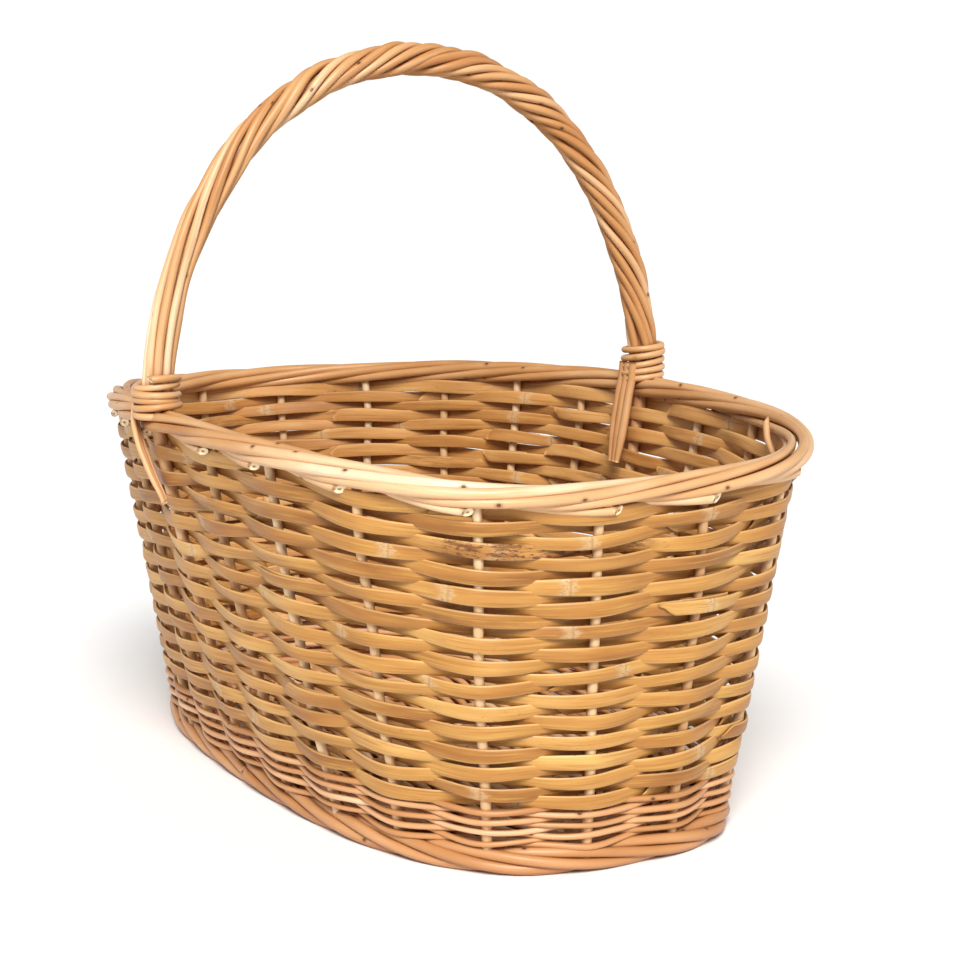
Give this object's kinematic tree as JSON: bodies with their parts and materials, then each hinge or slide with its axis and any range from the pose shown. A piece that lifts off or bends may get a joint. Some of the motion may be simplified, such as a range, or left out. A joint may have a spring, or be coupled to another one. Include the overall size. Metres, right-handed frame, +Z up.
{
  "type": "egg collection basket",
  "caption": "Oval woven willow basket for collecting eggs, with flaring strip-woven walls, a rolled rod border and a fixed arched handle wound with rods.",
  "frame": {"origin": "on the floor, under the middle of the rim's outer box", "axes": "+Z up, X along the long way of the oval with the squarer end at +X, Y across it; the handle's feet stand at -Y and +Y"},
  "size_m": [0.466, 0.3151, 0.3785],
  "materials": {
    "split_willow": "satin golden tan split willow with faint lengthwise streaks and darker nodes",
    "wale_willow": "satin peeled round willow, pink-tan with bright highlights",
    "rim_willow": "satin peeled round willow, warm cream to tan with small dark bud knots",
    "handle_willow": "satin peeled round willow, cream to warm tan with lengthwise streaks",
    "binding_willow": "satin thin willow, warm tan",
    "stake_willow": "satin peeled willow, pale cream",
    "stick_willow": "matt thick willow sticks, tan with pale cut ends"
  },
  "bodies": {
    "root": {"weave_row_01": "split_willow", "weave_row_02": "split_willow", "weave_row_03": "split_willow", "weave_row_04": "split_willow", "weave_row_05": "split_willow", "weave_row_06": "split_willow", "weave_row_07": "split_willow", "weave_row_08": "split_willow", "weave_row_09": "split_willow", "weave_row_10": "split_willow", "weave_row_11": "split_willow", "weave_row_12": "split_willow", "weave_row_13": "split_willow", "weave_row_14": "split_willow", "weave_row_15": "split_willow", "weave_row_16": "split_willow", "weave_row_17": "split_willow", "weave_row_18": "split_willow", "weave_row_19": "split_willow", "weave_row_20": "split_willow", "weave_row_21": "split_willow", "weave_row_22": "split_willow", "weave_row_23": "split_willow", "weave_row_24": "split_willow", "weave_row_25": "split_willow", "weave_row_26": "split_willow", "lower_wale_1": "wale_willow", "lower_wale_2": "wale_willow", "lower_wale_3": "wale_willow", "lower_wale_4": "wale_willow", "lower_wale_5": "wale_willow", "foot_rod_1": "wale_willow", "foot_rod_2": "wale_willow", "foot_rod_3": "wale_willow", "border_rod_1": "rim_willow", "border_rod_2": "rim_willow", "border_rod_3": "rim_willow", "border_rod_4": "rim_willow", "handle_bow": "handle_willow", "handle_rod_1": "handle_willow", "handle_rod_2": "handle_willow", "handle_rod_3": "handle_willow", "handle_rod_4": "handle_willow", "handle_rod_5": "handle_willow", "handle_rod_6": "handle_willow", "handle_rod_7": "handle_willow", "handle_rod_8": "handle_willow", "handle_tail_left": "handle_willow", "handle_tail_right": "handle_willow", "handle_wrap_left": "binding_willow", "handle_wrap_right": "binding_willow", "stakes_front_right": "stake_willow", "stakes_front_left": "stake_willow", "stakes_back_left": "stake_willow", "stakes_back_right": "stake_willow", "base_long_sticks": "stick_willow", "base_cross_sticks": "stick_willow", "base_weave_top": "wale_willow", "base_weave_under": "wale_willow"}
  },
  "joints": []
}
